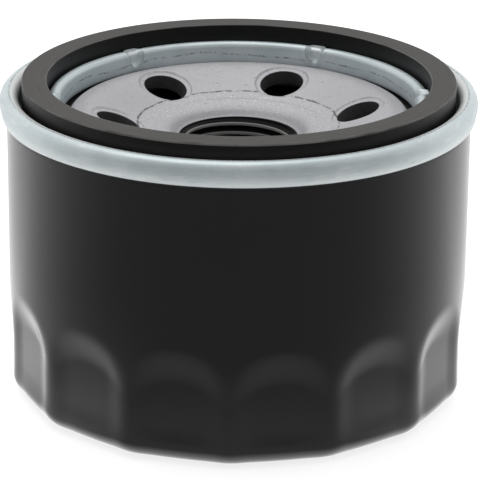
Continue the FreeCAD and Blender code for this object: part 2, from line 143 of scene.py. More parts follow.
def path(start, segments, step=0.25, arc_deg=10.0):
    """Dense centre line with unit tangents: ("L", to) or ("A", centre, degrees)."""
    p = np.array(start, float)
    pts, tan = [], []
    for s in segments:
        if s[0] == "L":
            q = np.array(s[1], float)
            d = q - p
            length = np.linalg.norm(d)
            d = d / length
            k = max(1, int(math.ceil(length / step)))
            for j in range(k):
                pts.append(p + d * length * j / k)
                tan.append(d)
            p = q
        else:
            c, deg = np.array(s[1], float), s[2]
            v = p - c
            k = max(3, int(math.ceil(abs(deg) / arc_deg)))
            sign = 1 if deg > 0 else -1
            for j in range(k):
                a = math.radians(deg * j / k)
                w = np.array([v[0] * math.cos(a) - v[1] * math.sin(a), v[0] * math.sin(a) + v[1] * math.cos(a)])
                pts.append(c + w)
                tan.append(sign * np.array([-w[1], w[0]]) / np.linalg.norm(w))
            a = math.radians(deg)
            w = np.array([v[0] * math.cos(a) - v[1] * math.sin(a), v[0] * math.sin(a) + v[1] * math.cos(a)])
            p = c + w
            last = sign * np.array([-w[1], w[0]]) / np.linalg.norm(w)
    if segments[-1][0] == "L":
        last = d
    pts.append(p)
    tan.append(last)
    return np.array(pts), np.array(tan)


def sheet_loop(start, segments, t, step=0.25, arc_deg=10.0, ends=4):
    """The outline of a folded sheet, with softly rounded cut edges."""
    p, d = path(start, segments, step, arc_deg)
    n = np.stack([-d[:, 1], d[:, 0]], 1)
    h = t / 2

    def cap(c, t_dir, n_dir):
        out = []
        for j in range(1, ends):
            a = math.pi / 2 - math.pi * j / ends
            out.append(c + n_dir * h * math.sin(a) + t_dir * h * 0.5 * math.cos(a))
        return out

    left = list(p + n * h)
    right = list((p - n * h)[::-1])
    return np.array(left + cap(p[-1], d[-1], n[-1]) + right + cap(p[0], -d[0], -n[0]))


def smooth(x, a, b):
    """0 at a, 1 at b, smooth between."""
    t = np.clip((x - a) / (b - a), 0, 1)
    return t * t * (3 - 2 * t)


def smin(a, b, k):
    """Smooth minimum."""
    h = np.clip(0.5 + 0.5 * (b - a) / k, 0, 1)
    return b * (1 - h) + a * h - k * h * (1 - h)


# ------------------------------------------------------------------------------------
# materials
# ------------------------------------------------------------------------------------
class Mat:
    """A material with short calls for its nodes."""

    def __init__(self, name):
        self.m = bpy.data.materials.new(name)
        self.m.use_nodes = True
        self.t = self.m.node_tree
        self.t.nodes.clear()
        self.out = self.t.nodes.new("ShaderNodeOutputMaterial")
        self.p = self.t.nodes.new("ShaderNodeBsdfPrincipled")
        self.t.links.new(self.p.outputs["BSDF"], self.out.inputs["Surface"])
        self.c = self.t.nodes.new("ShaderNodeTexCoord").outputs["Object"]
        self._xyz = None

    def set(self, **values):
        for k, v in values.items():
            s = self.p.inputs[k.replace("_", " ")]
            if hasattr(v, "is_output"):
                self.t.links.new(v, s)
            else:
                s.default_value = (*v, 1.0) if isinstance(v, tuple) and len(v) == 3 else v
        return self

    def feed(self, node, key, v):
        if v is None:
            return
        s = node.inputs[key]
        if hasattr(v, "is_output"):
            self.t.links.new(v, s)
        else:
            s.default_value = v

    def noise(self, scale, detail=3.0, rough=0.55, coords=None, dist=0.0, kind="FBM"):
        n = self.t.nodes.new("ShaderNodeTexNoise")
        n.inputs["Scale"].default_value = scale
        n.inputs["Detail"].default_value = detail
        n.inputs["Roughness"].default_value = rough
        n.inputs["Distortion"].default_value = dist
        self.t.links.new(coords or self.c, n.inputs["Vector"])
        return n.outputs["Fac"]

    def voronoi(self, scale, feature="F1", coords=None, rand=1.0):
        n = self.t.nodes.new("ShaderNodeTexVoronoi")
        n.feature = feature
        n.inputs["Scale"].default_value = scale
        n.inputs["Randomness"].default_value = rand
        self.t.links.new(coords or self.c, n.inputs["Vector"])
        return n.outputs["Distance"]

    def math(self, op, a, b=None, c=None, clamp=False):
        n = self.t.nodes.new("ShaderNodeMath")
        n.operation = op
        n.use_clamp = clamp
        self.feed(n, 0, a)
        self.feed(n, 1, b)
        self.feed(n, 2, c)
        return n.outputs[0]

    def xyz(self):
        if self._xyz is None:
            n = self.t.nodes.new("ShaderNodeSeparateXYZ")
            self.t.links.new(self.c, n.inputs[0])
            self._xyz = (n.outputs[0], n.outputs[1], n.outputs[2])
        return self._xyz

    def radius(self):
        x, y, _ = self.xyz()
        return self.math("SQRT", self.math("ADD", self.math("MULTIPLY", x, x), self.math("MULTIPLY", y, y)))

    def angle(self):
        x, y, _ = self.xyz()
        return self.math("ARCTAN2", x, y)

    def vec(self, x, y, z):
        n = self.t.nodes.new("ShaderNodeCombineXYZ")
        for i, v in enumerate((x, y, z)):
            self.feed(n, i, v)
        return n.outputs[0]

    def band(self, v, lo, hi, soft):
        """1 between lo and hi, with soft edges."""
        a = self.step(v, lo - soft, lo + soft)
        b = self.step(v, hi - soft, hi + soft)
        return self.math("SUBTRACT", a, b, clamp=True)

    def step(self, v, lo, hi, to0=0.0, to1=1.0):
        n = self.t.nodes.new("ShaderNodeMapRange")
        n.interpolation_type = "SMOOTHSTEP"
        self.feed(n, "Value", v)
        n.inputs["From Min"].default_value = lo
        n.inputs["From Max"].default_value = hi
        n.inputs["To Min"].default_value = to0
        n.inputs["To Max"].default_value = to1
        return n.outputs["Result"]

    def lerp(self, f, a, b):
        n = self.t.nodes.new("ShaderNodeMix")
        n.data_type = "FLOAT"
        self.feed(n, "Factor", f)
        self.feed(n, "A", a)
        self.feed(n, "B", b)
        return n.outputs["Result"]

    def mix(self, f, a, b, blend="MIX"):
        n = self.t.nodes.new("ShaderNodeMix")
        n.data_type = "RGBA"
        n.blend_type = blend
        self.feed(n, 0, f)
        for i, v in ((6, a), (7, b)):
            if isinstance(v, tuple):
                v = (*v, 1.0)[:4]
            self.feed(n, i, v)
        return n.outputs[2]

    def bump(self, height, distance, strength=1.0, normal=None):
        n = self.t.nodes.new("ShaderNodeBump")
        n.inputs["Distance"].default_value = distance
        self.feed(n, "Strength", strength)
        self.feed(n, "Height", height)
        if normal is not None:
            self.t.links.new(normal, n.inputs["Normal"])
        return n.outputs["Normal"]

    def room(self, y):
        """Brightness of the room by direction round the object: y is -1 at the front, +1 at the back."""
        n = self.t.nodes.new("ShaderNodeValToRGB")
        n.color_ramp.interpolation = "B_SPLINE"
        stops = [(-1.0, 0.19), (-0.60, 0.22), (-0.30, 0.36), (0.0, 0.62), (0.30, 0.86), (0.60, 1.25), (0.82, 1.6), (1.0, 1.6)]
        e = n.color_ramp.elements
        while len(e) < len(stops):
            e.new(0.5)
        for el_, (at, v) in zip(e, stops):
            el_.position = (at + 1) / 2
            el_.color = (v, v, v, 1)
        self.feed(n, "Fac", self.math("MULTIPLY_ADD", y, 0.5, 0.5))
        return n.outputs["Color"]

    def scaled(self, sx, sy, sz):
        n = self.t.nodes.new("ShaderNodeMapping")
        n.inputs["Scale"].default_value = (sx, sy, sz)
        self.t.links.new(self.c, n.inputs["Vector"])
        return n.outputs["Vector"]


def can_paint():
    m = Mat("can_paint")
    peel = m.noise(420, 2.0, 0.5)
    fine = m.noise(2600, 2.0, 0.5)
    soft = m.noise(60, 2.0, 0.5)
    dust = m.step(m.noise(5200, 1.0, 0.5), 0.74, 0.80)
    rough = m.lerp(soft, 0.13, 0.19)
    rough = m.lerp(dust, rough, 0.42)
    colour = m.mix(soft, (0.0045, 0.0045, 0.0050), (0.0065, 0.0065, 0.0070))
    colour = m.mix(m.math("MULTIPLY", dust, 0.25), colour, (0.05, 0.05, 0.05))
    normal = m.bump(peel, 0.00003, 0.35)
    normal = m.bump(fine, 0.000004, 0.30, normal)
    m.set(Base_Color=colour, Roughness=rough, Metallic=0.0, IOR=1.50, Normal=normal)
    m.set(Coat_Weight=0.25, Coat_Roughness=0.06)
    return m.m


def lid_plate():
    """Bright plated sheet: cool grey, cloudy, drawn round the axis."""
    m = Mat("lid_plate")
    x, y, z = m.xyz()
    r, a = m.radius(), m.angle()
    around = m.vec(m.math("MULTIPLY", a, 0.004), m.math("MULTIPLY", r, 1.0), z)
    cloud = m.noise(110, 4.0, 0.6)
    draw = m.noise(2200, 3.0, 0.6, coords=around)
    grain = m.noise(3800, 3.0, 0.65)
    scuffs = m.step(m.noise(700, 5.0, 0.75, coords=m.scaled(1, 1, 0.35)), 0.66, 0.80)
    colour = m.mix(m.step(cloud, 0.25, 0.75), (0.59, 0.675, 0.70), (0.765, 0.835, 0.85))
    colour = m.mix(m.math("MULTIPLY", grain, 0.5), colour, (0.66, 0.735, 0.75))
    colour = m.mix(m.math("MULTIPLY", scuffs, 0.4), colour, (0.42, 0.45, 0.455))
    # painted reflection: the folded lower edge is painted brighter where it faces the floor; painted light: the inner
    # side of the crest is painted lighter and less metallic
    low = m.math("MULTIPLY", m.step(z, 0.0494, 0.0478), m.step(r, 0.0379, 0.0383))
    streak = m.noise(900, 4.0, 0.7, coords=m.vec(m.math("MULTIPLY", a, 0.010), m.math("MULTIPLY", z, 1.6), 0.0))
    colour = m.mix(m.math("MULTIPLY", low, m.lerp(streak, 0.45, 1.0)), colour, (0.93, 0.985, 0.985))
    band = m.math("MULTIPLY", m.step(r, 0.0379, 0.0383), m.step(streak, 0.52, 0.70))
    colour = m.mix(m.math("MULTIPLY", band, 0.45), colour, (0.97, 1.0, 1.0))
    side = m.math("MULTIPLY", m.step(r, 0.0379, 0.0383), m.step(streak, 0.44, 0.28))
    colour = m.mix(m.math("MULTIPLY", side, 0.42), colour, (0.44, 0.52, 0.54))
    # painted light: the inner side of the crest, lighter in colour
    inside = m.math("MULTIPLY", m.math("MULTIPLY", m.step(r, 0.0377, 0.0371), m.step(r, 0.0355, 0.0358)), m.step(z, 0.0488, 0.0504))
    colour = m.mix(inside, colour, (0.86, 0.88, 0.87))
    # a thin, broken, dark line left round the turned-down lip
    drift = m.noise(60, 2.0, 0.5, coords=m.vec(m.math("MULTIPLY", a, 0.026), 0.3, 0.0))
    drift = m.math("MULTIPLY_ADD", m.math("SUBTRACT", drift, 0.5), 0.0030, z)
    drift = m.math("MULTIPLY_ADD", m.noise(700, 2.0, 0.5), 0.00030, drift)
    line = m.band(drift, 0.04852, 0.04872, 0.00012)
    inner = m.step(r, 0.02955, 0.02935)
    broken = m.step(m.noise(420, 3.0, 0.7, coords=m.vec(m.math("MULTIPLY", a, 0.03), 0.0, 0.0)), 0.42, 0.56)
    dots = m.step(m.noise(2400, 2.0, 0.7), 0.38, 0.50)
    mark = m.math("MULTIPLY", m.math("MULTIPLY", line, inner), m.math("MULTIPLY", broken, dots))
    # grime in a broken line round the crest under the hook, and painted shade, broken up by noise, where the seam
    # meets the ring's channel
    channel_shade_n = m.noise(520, 5.0, 0.7)
    wob = m.math("MULTIPLY_ADD", m.noise(60, 2.0, 0.5), 0.0003, r)
    fine_n = m.noise(3600, 4.0, 0.7, coords=m.vec(m.math("MULTIPLY", a, 0.022), m.math("MULTIPLY", r, 1.0), 0.0))
    crest = m.math("MULTIPLY", m.band(wob, 0.03758, 0.03786, 0.00007), m.step(z, 0.0498, 0.0505))
    crest = m.math("MULTIPLY", crest, m.step(fine_n, 0.42, 0.58))
    # painted shade on the channel floor between the chuck wall and the ring
    channel_shade = m.math("MULTIPLY", m.math("MULTIPLY", m.band(r, 0.0355, 0.0363, 0.00015), m.step(channel_shade_n, 0.44, 0.64)), m.step(z, 0.0505, 0.0490))
    # shadowed creases round the six stakes
    arcs = [m.math("ABSOLUTE", m.math("SUBTRACT", a, math.radians(c))) for c in (26.1, 87.0, 146.5, -154.5, -95.5, -37.4)]
    gap = arcs[0]
    for other in arcs[1:]:
        gap = m.math("MINIMUM", gap, other)
    gap = m.math("MULTIPLY", gap, 0.0294 / 0.00165)
    rise = m.math("DIVIDE", m.math("SUBTRACT", z, 0.0506), 0.0030)
    d = m.math("SQRT", m.math("ADD", m.math("MULTIPLY", gap, gap), m.math("MULTIPLY", rise, rise)))
    d = m.math("MULTIPLY_ADD", m.noise(500, 3.0, 0.6), 0.10, d)
    ringed = m.math("MULTIPLY", m.band(d, 0.98, 1.10, 0.07), m.step(r, 0.0312, 0.0308))
    shade = m.math("MULTIPLY", ringed, 0.34)
    # painted highlight on the face of each stake
    stake_highlight = m.math("MULTIPLY", m.step(d, 0.80, 0.35), m.step(r, 0.0312, 0.0308))
    colour = m.mix(m.math("MULTIPLY", stake_highlight, 0.5), colour, (0.93, 0.96, 0.96))
    top = m.math("MAXIMUM", crest, m.math("MULTIPLY", channel_shade, 0.6))
    dark = m.math("MAXIMUM", m.math("MAXIMUM", m.math("MULTIPLY", mark, 0.9), m.math("MULTIPLY", top, 0.62)), shade)
    colour = m.mix(dark, colour, (0.13, 0.13, 0.12))
    rough = m.lerp(cloud, 0.34, 0.44)
    rough = m.lerp(m.math("MULTIPLY", scuffs, 0.6), rough, 0.55)
    rough = m.lerp(dark, rough, 0.7)
    normal = m.bump(draw, 0.00001, 0.35)
    normal = m.bump(grain, 0.000006, 0.35, normal)
    normal = m.bump(cloud, 0.00005, 0.25, normal)
    m.set(Base_Color=colour, Roughness=rough, Metallic=m.lerp(m.math("MAXIMUM", dark, m.math("MAXIMUM", inside, low)), 0.50, 0.22), Normal=normal)
    return m.m


HOLE_PCR, HOLE_Z, SLOPE = 19.9, 46.93, 0.354
A_HOLE = math.radians(21.3)  # a hole's angle from the back towards +X


def plate_steel():
    """Matt phosphated steel with a fine sparkle; the thread is painted nearly black."""
    m = Mat("plate_steel")
    x, y, z = m.xyz()
    r, a = m.radius(), m.angle()
    cloud = m.noise(90, 4.0, 0.6)
    grain = m.noise(3300, 3.0, 0.7)
    fine = m.noise(7000, 1.0, 0.5)
    pits = m.step(m.noise(1500, 4.0, 0.7), 0.30, 0.40)
    spark = m.step(m.noise(4300, 0.0, 0.5), 0.69, 0.76)
    colour = m.mix(cloud, (0.49, 0.485, 0.505), (0.575, 0.57, 0.59))
    mottle = m.step(grain, 0.36, 0.64)
    colour = m.mix(m.math("MULTIPLY", mottle, m.step(r, 0.0185, 0.0150, 0.35, 0.8)), colour, (0.63, 0.625, 0.65))
    colour = m.mix(m.math("SUBTRACT", 1.0, pits), colour, (0.34, 0.34, 0.335))
    collar = m.step(r, 0.0172, 0.0150)
    sparkle = m.math("MULTIPLY", spark, m.lerp(collar, 0.18, 0.7))
    colour = m.mix(sparkle, colour, (0.92, 0.92, 0.90))
    scuff = m.step(m.noise(240, 6.0, 0.8, coords=m.scaled(1.0, 1.0, 3.0)), 0.62, 0.72)
    colour = m.mix(m.math("MULTIPLY", scuff, 0.22), colour, (0.72, 0.72, 0.71))
    # painted shade on the steep slope down into the thread's mouth, darkest at the edge
    colour = m.mix(m.step(r, 0.0128, 0.0104, 0.0, 0.52), colour, (0.30, 0.30, 0.315))
    # the threaded bore is painted nearly black; its lead-in is darker still, painted shade, and its crests are
    # painted light, a painted highlight
    edge = m.math("SUBTRACT", z, m.math("MULTIPLY_ADD", m.math("DIVIDE", x, m.math("MAXIMUM", r, 0.001)), -0.00010, 0.04346))
    bore = m.math("MULTIPLY", m.step(edge, 0.00004, -0.00008), m.step(r, 0.00990, 0.00975))
    crest = m.step(r, 0.00890, 0.00872)
    oil = m.noise(1300, 3.0, 0.6)
    bore_black = m.mix(oil, (0.006, 0.0058, 0.0055), (0.022, 0.021, 0.020))
    # painted shade on the lead-in, which faces up into the light
    lead = m.math("MULTIPLY", m.step(z, 0.0422, 0.0426), m.step(r, 0.00884, 0.00890))
    bore_black = m.mix(m.math("MULTIPLY", lead, 0.9), bore_black, (0.006, 0.006, 0.0058))
    # painted highlight along the thread crests
    bore_black = m.mix(m.math("MULTIPLY", crest, 0.8), bore_black, (0.42, 0.42, 0.41))
    colour = m.mix(bore, colour, bore_black)
    sixth = m.math("SUBTRACT", m.math("FLOORED_MODULO", m.math("ADD", a, -A_HOLE + math.pi / 6), math.pi / 3), math.pi / 6)
    across = m.math("MULTIPLY", r, m.math("SINE", sixth))
    dish = m.math("MULTIPLY_ADD", r, SLOPE, (HOLE_Z - SLOPE * HOLE_PCR) * MM)
    under = m.math("SUBTRACT", dish, z)
    centre = m.math("MULTIPLY_ADD", m.math("MAXIMUM", under, 0.0), 0.33, HOLE_PCR * MM)
    along = m.math("MULTIPLY", m.math("SUBTRACT", m.math("MULTIPLY", r, m.math("COSINE", sixth)), centre), 1.06)
    rho = m.math("SQRT", m.math("ADD", m.math("MULTIPLY", across, across), m.math("MULTIPLY", along, along)))
    hole = m.math("MULTIPLY", m.step(rho, 0.00402, 0.00388), m.step(under, 0.00036, 0.00056))
    # hole walls painted dark grey: partly the sheared steel's own darkness, partly painted shade
    hole_c = m.mix(oil, (0.05, 0.05, 0.052), (0.14, 0.14, 0.145))
    colour = m.mix(hole, colour, hole_c)
    bore = m.math("MAXIMUM", bore, hole)
    # painted shade: the steel beyond the shoulder, under the lid's skirt, painted nearly black and not metallic
    skirt_gap_shade = m.math("MULTIPLY", m.step(r, 0.02785, 0.0284), m.step(z, 0.0474, 0.0468))
    colour = m.mix(m.math("MULTIPLY", skirt_gap_shade, 0.93), colour, (0.012, 0.012, 0.012))
    # painted shade in the coined step and round the recesses, broken up by noise
    crease_shade_n = m.noise(700, 4.0, 0.7, coords=m.vec(m.math("MULTIPLY", a, 0.02), r, 0.0))
    wave = m.math("ADD", m.math("MULTIPLY", m.math("SINE", m.math("MULTIPLY_ADD", a, 2.0, 0.5)), 0.00007), m.math("MULTIPLY", m.math("SINE", m.math("MULTIPLY_ADD", a, 5.0, 2.0)), 0.00004))
    off = m.math("SUBTRACT", m.math("SUBTRACT", m.math("MULTIPLY_ADD", m.noise(330, 3.0, 0.7), 0.00045, r), 0.01686), wave)
    crease_shade = m.math("MULTIPLY", m.band(off, -0.00020, 0.00014, 0.00007), m.step(crease_shade_n, 0.38, 0.56))
    ring_n = m.math("MULTIPLY", m.band(rho, 0.00448, 0.00462, 0.00007), m.step(crease_shade_n, 0.40, 0.62))
    crease_shade = m.math("MULTIPLY", m.math("MAXIMUM", m.math("MULTIPLY", crease_shade, 0.95), m.math("MULTIPLY", ring_n, 0.35)), m.step(z, 0.0440, 0.0446))
    colour = m.mix(crease_shade, colour, (0.16, 0.16, 0.165))
    rough = m.lerp(grain, 0.52, 0.66)
    rough = m.lerp(sparkle, rough, 0.25)
    rough = m.lerp(bore, rough, 0.40)
    normal = m.bump(grain, 0.000035, m.step(r, 0.0185, 0.0150, 0.45, 0.85))
    normal = m.bump(fine, 0.000010, 0.5, normal)
    normal = m.bump(cloud, 0.00006, 0.2, normal)
    m.set(Base_Color=colour, Roughness=rough, Metallic=m.lerp(m.math("MAXIMUM", bore, skirt_gap_shade), 0.62, 0.0), Specular_IOR_Level=0.04, Normal=normal)
    return m.m


def gasket_rubber():
    """Lathe-cut nitrile: the cut face is grey with fine turned lines, the moulded walls are dark and smooth; the face
    is painted far lighter than the walls, partly its own grey and partly painted light from above.
    """
    m = Mat("gasket_rubber")
    x, y, z = m.xyz()
    r, a = m.radius(), m.angle()
    top = m.step(z, 0.05300, 0.05316)
    turned = m.noise(4300, 3.0, 0.65, coords=m.vec(m.math("MULTIPLY", a, 0.0012), r, 0.0))
    wide = m.noise(1300, 2.0, 0.5, coords=m.vec(m.math("MULTIPLY", a, 0.004), r, 0.0))
    mott = m.noise(300, 4.0, 0.6)
    grain = m.noise(6500, 2.0, 0.6)
    specks = m.step(m.voronoi(1500), 0.10, 0.04)
    # the top face is painted lighter than the walls: partly the cut face's own grey, partly painted light
    face = m.mix(m.step(turned, 0.32, 0.68), (0.052, 0.050, 0.0475), (0.098, 0.095, 0.090))
    face = m.mix(m.math("MULTIPLY", wide, 0.35), face, (0.112, 0.108, 0.102))
    face = m.mix(m.math("MULTIPLY", mott, 0.30), face, (0.062, 0.060, 0.057))
    face = m.mix(m.math("MULTIPLY", specks, 0.6), face, (0.30, 0.29, 0.27))
    # painted highlight along the outer and inner edges of the top face
    edge = m.math("MULTIPLY", m.math("MAXIMUM", m.step(r, 0.03530, 0.03545), m.step(r, 0.03166, 0.03152)), m.step(wide, 0.30, 0.60))
    face = m.mix(m.math("MULTIPLY", edge, 0.55), face, (0.26, 0.255, 0.245))
    wall = m.mix(mott, (0.0030, 0.0029, 0.0028), (0.0065, 0.0063, 0.0060))
    wall = m.mix(m.math("MULTIPLY", specks, 0.3), wall, (0.09, 0.088, 0.085))
    m.set(Base_Color=m.mix(top, wall, face), Specular_IOR_Level=0.28)
    rough = m.lerp(top, m.lerp(grain, 0.30, 0.42), m.lerp(turned, 0.55, 0.72))
    normal = m.bump(m.math("MULTIPLY", turned, top), 0.00002, 0.6)
    normal = m.bump(grain, 0.000012, 0.4, normal)
    m.set(Roughness=rough, Normal=normal)
    return m.m


def valve_rubber():
    m = Mat("valve_rubber")
    mott = m.noise(260, 3.0, 0.6)
    grain = m.noise(4200, 2.0, 0.6)
    m.set(Base_Color=m.mix(mott, (0.010, 0.010, 0.0105), (0.020, 0.020, 0.021)))
    m.set(Roughness=m.lerp(grain, 0.26, 0.40), Normal=m.bump(grain, 0.00001, 0.5))
    return m.m


def sheet_steel(name, light, rough0, rough1, drawn=1.0):
    m = Mat(name)
    x, y, z = m.xyz()
    a = m.angle()
    cloud = m.noise(150, 4.0, 0.6)
    lines = m.noise(2600, 3.0, 0.6, coords=m.vec(m.math("MULTIPLY", a, 0.003), m.radius(), z))
    grain = m.noise(5200, 2.0, 0.6)
    dark = tuple(c * 0.82 for c in light)
    m.set(Base_Color=m.mix(m.math("MULTIPLY", m.math("ADD", cloud, lines), 0.5), dark, light))
    m.set(Roughness=m.lerp(cloud, rough0, rough1), Metallic=1.0)
    normal = m.bump(lines, 0.00001, 0.35 * drawn)
    m.set(Normal=m.bump(grain, 0.000008, 0.4, normal))
    return m.m


def spring_steel():
    m = Mat("spring_steel")
    grain = m.noise(3600, 3.0, 0.6)
    cloud = m.noise(300, 3.0, 0.6)
    m.set(Base_Color=m.mix(cloud, (0.20, 0.19, 0.18), (0.33, 0.32, 0.30)))
    m.set(Roughness=m.lerp(grain, 0.28, 0.42), Metallic=1.0, Normal=m.bump(grain, 0.00001, 0.5))
    return m.m


def filter_paper():
    """Resin-soaked paper: tan and fibrous."""
    m = Mat("filter_paper")
    fibre = m.noise(1400, 5.0, 0.7, coords=m.scaled(1, 1, 0.25))
    cloud = m.noise(180, 3.0, 0.6)
    fuzz = m.noise(6000, 2.0, 0.6)
    colour = m.mix(fibre, (0.50, 0.33, 0.14), (0.74, 0.55, 0.28))
    colour = m.mix(m.math("MULTIPLY", cloud, 0.5), colour, (0.62, 0.43, 0.19))
    m.set(Base_Color=colour, Roughness=m.lerp(fuzz, 0.75, 0.95))
    normal = m.bump(fibre, 0.00004, 0.6)
    m.set(Normal=m.bump(fuzz, 0.00001, 0.6, normal))
    return m.m


def plastisol(name, base):
    m = Mat(name)
    cloud = m.noise(260, 4.0, 0.6)
    bubbles = m.step(m.voronoi(1200), 0.22, 0.12)
    dark = tuple(c * 0.75 for c in base)
    colour = m.mix(cloud, dark, base)
    m.set(Base_Color=m.mix(m.math("MULTIPLY", bubbles, 0.4), colour, dark), Roughness=m.lerp(cloud, 0.38, 0.55))
    m.set(Normal=m.bump(m.math("ADD", cloud, bubbles), 0.00006, 0.5))
    return m.m


MATS = {
    "can_paint": can_paint(),
    "lid_plate": lid_plate(),
    "plate_steel": plate_steel(),
    "gasket_rubber": gasket_rubber(),
    "valve_rubber": valve_rubber(),
    "sealant": plastisol("sealant", (0.25, 0.24, 0.21)),
    "cap_steel": sheet_steel("cap_steel", (0.62, 0.63, 0.62), 0.26, 0.38),
    "tube_steel": sheet_steel("tube_steel", (0.50, 0.51, 0.51), 0.32, 0.45),
    "spring_steel": spring_steel(),
    "adhesive": plastisol("adhesive", (0.42, 0.20, 0.10)),
    "filter_paper": filter_paper(),
}
SLOT = {s["node"]: s["material_slot"] for s in frame["record"]["subparts"]}


def dress(ob, slot):
    ob.data.materials.clear()
    ob.data.materials.append(MATS[slot])
    return ob


for node, ob in frame["nodes"].items():
    ob.data.materials.clear()
    ob.data.materials.append(MATS[SLOT[node]])
    for p in ob.data.polygons:
        p.use_smooth = True
    ob.data.set_sharp_from_angle(angle=math.radians(35))


def piece(ob, slot, body, *nodes):
    dress(ob, slot)
    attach(ob, body)
    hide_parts(*nodes)
    return ob


# ------------------------------------------------------------------------------------
# can
# ------------------------------------------------------------------------------------
HEIGHT = 53.2
CAN_R, CAN_T, CORNER = 38.0, 0.4, 3.5
FLUTES, PHASE = 14, -1.7
APOTHEM, RIDGE_R = 37.98 * math.cos(math.pi / 14), 7.0
HALF = math.pi / FLUTES


def flat_radius(t, apothem):
    """Radius of the rounded 14-sided section at angle t, for an array of apothems."""
    phi = (t - math.radians(PHASE) + HALF) % (2 * HALF) - HALF  # from the nearest ridge
    mid = HALF - np.abs(phi)  # from the middle of the flat
    plane = apothem / np.cos(mid)
    c = (apothem - RIDGE_R) / math.cos(HALF)
    s = np.clip(RIDGE_R**2 - (c * np.sin(phi)) ** 2, 0, None)
    arc = c * np.cos(phi) + np.sqrt(s)
    tangent = np.arctan2(RIDGE_R * math.sin(HALF), c + RIDGE_R * math.cos(HALF))
    return np.where(np.abs(phi) < tangent, arc, plane)


def flute(r, z, t, shell):
    """How the 14 flats press the wall in. shell is not used."""
    phi = (t - math.radians(PHASE) + HALF) % (2 * HALF) - HALF
    m = 1 - np.abs(phi) / HALF                      # 0 in the middle of a flat, 1 at a ridge
    arch = 17.4 - 4.4 * m**2.2
    hollow = 0.34 * smooth(m, 1.0, 0.50)
    depth = CAN_R - smin(np.full_like(r, CAN_R), flat_radius(t, np.full_like(r, APOTHEM)), 0.35) + hollow
    wall = CAN_R - depth * smooth(z, arch + 3.0, arch - 3.4) * (1 - 0.42 * smooth(z, 6.5, 0.8))
    scale = wall / CAN_R
    keep = smooth(r, 24.0, 30.0)
    return r * (1 + (scale - 1) * keep)


def build_can():
    r, t, k = CAN_R, CAN_T, CORNER
    s = {"wall": 37.15, "hook": 38.25}
    up = 0.8
    mid = r - t / 2
    z_a, z_b = 46.75, 47.75
    d = np.array([s["wall"] - mid, 1.0])
    lean = math.degrees(math.atan2(mid - s["wall"], 1.0))
    dz = 1.2 * math.tan(math.radians(lean) / 2)
    d = d / np.linalg.norm(d)
    segs = [
        ("L", (21.9, up + t / 2)),
        ("A", (21.9, up + t / 2 - 1.0), -30.0),
        ("L", (23.6, t / 2 + 0.36)),
    ]
    # the raised panel falls to the standing ring through two soft bends
    a = math.radians(30)
    p1 = np.array([21.9 + math.sin(a), up + t / 2 - 1.0 + math.cos(a)])
    drop = p1[1] - t / 2
    rest = drop - (1 - math.cos(a))
    run = rest / math.tan(a)
    p2 = p1 + np.array([run, -rest])
    segs = [
        ("L", (21.9, up + t / 2)),
        ("A", (21.9, up + t / 2 - 1.0), -30.0),
        ("L", tuple(p2)),
        ("A", (p2[0] + math.sin(a), t / 2 + 1.0), 30.0),
        ("L", (r - k, t / 2)),
        ("A", (r - k, k), 90.0),
        ("L", (mid, 22.0)),
        ("L", (mid, z_a - dz)),
        ("A", (mid - 1.2, z_a - dz), lean),
        ("L", (s["wall"] - d[0] * dz, z_b - d[1] * dz)),
        ("A", (s["wall"] + 1.2, z_b + dz), -lean),
        ("L", (s["wall"], 50.0)),
        ("A", ((s["wall"] + s["hook"]) / 2, 50.0), -180),
        ("L", (s["hook"], 48.45)),
    ]
    p, tan = path((0.4, up + t / 2), segs, step=0.42, arc_deg=7.0)
    n = np.stack([-tan[:, 1], tan[:, 0]], 1)
    h = t / 2
    inner, outer = p + n * h, p - n * h
    cols = FLUTES * 28
    th = np.linspace(0, TAU, cols, endpoint=False)

    def ring_of(line):
        rr = np.repeat(line[:, 0][:, None], cols, 1)
        zz = np.repeat(line[:, 1][:, None], cols, 1)
        tt = np.repeat(th[None, :], len(line), 0)
        rr = flute(rr, zz, tt, None)
        # faint unevenness of a drawn wall
        rr = rr + 0.018 * smooth(zz, 2, 12) * smooth(zz, 46.5, 42) * (np.sin(2 * tt + 0.6) + 0.6 * np.sin(3 * tt + 2.1 + zz * 0.03))
        return np.stack([rr * np.sin(tt), -rr * np.cos(tt), zz], 2).reshape(-1, 3)

    vo, vi = ring_of(outer), ring_of(inner)
    rows = len(p)
    verts = np.vstack([vo, vi, [[0, 0, up]], [[0, 0, up + t]]])
    faces = grid_faces(rows, cols, False, True, 0, False)
    faces += grid_faces(rows, cols, False, True, rows * cols, True)
    e = (rows - 1) * cols
    for j in range(cols):
        k2 = (j + 1) % cols
        faces.append((e + j, e + k2, rows * cols + e + k2, rows * cols + e + j))
        faces.append((2 * rows * cols, k2, j))
        faces.append((2 * rows * cols + 1, rows * cols + j, rows * cols + k2))
    return link("can_shell", verts, faces, 50)


piece(build_can(), "can_paint", "housing", "canister")

# ------------------------------------------------------------------------------------
# seaming lid
# ------------------------------------------------------------------------------------
LID_T = 0.6
GROOVE_Z, LIP_TOP, SKIRT_Z = 46.65, 50.62, 46.95
LIP_RO, LIP_RI = 31.2, 29.1
CRIMP_AT = [180 - a for a in (26.1, 87.0, 146.5, -154.5, -95.5, -37.4)]  # from the front


